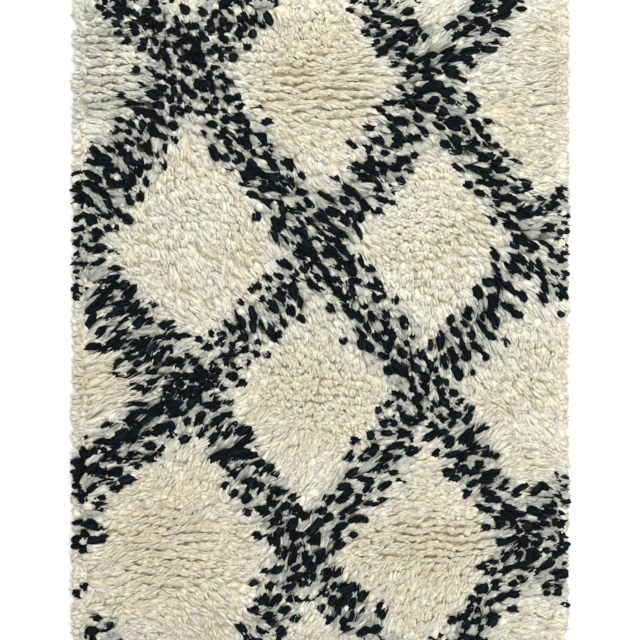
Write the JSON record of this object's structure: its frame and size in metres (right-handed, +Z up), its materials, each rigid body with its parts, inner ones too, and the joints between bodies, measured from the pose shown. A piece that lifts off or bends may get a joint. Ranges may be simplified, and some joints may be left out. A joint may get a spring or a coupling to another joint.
{
  "type": "beni ourain rug",
  "caption": "Flat cut length of deep hand-knotted wool shag rug, ivory with a dark lozenge lattice, locks hanging over its rim.",
  "frame": {"origin": "middle of the box's underside, on the surface that the rug lies on", "axes": "+Z up out of the pile, +Y along the warp and the longest side, +X along the knot rows"},
  "size_m": [0.6318, 0.8314, 0.0293],
  "materials": {
    "ivory_pile": "undyed ivory wool, soft, with a faint sheen along the locks",
    "dark_pile": "blue-black wool, soft and dull",
    "foundation": "plain-woven wool yarn, dull"
  },
  "bodies": {
    "root": {"rug": "ivory_pile"}
  },
  "joints": []
}
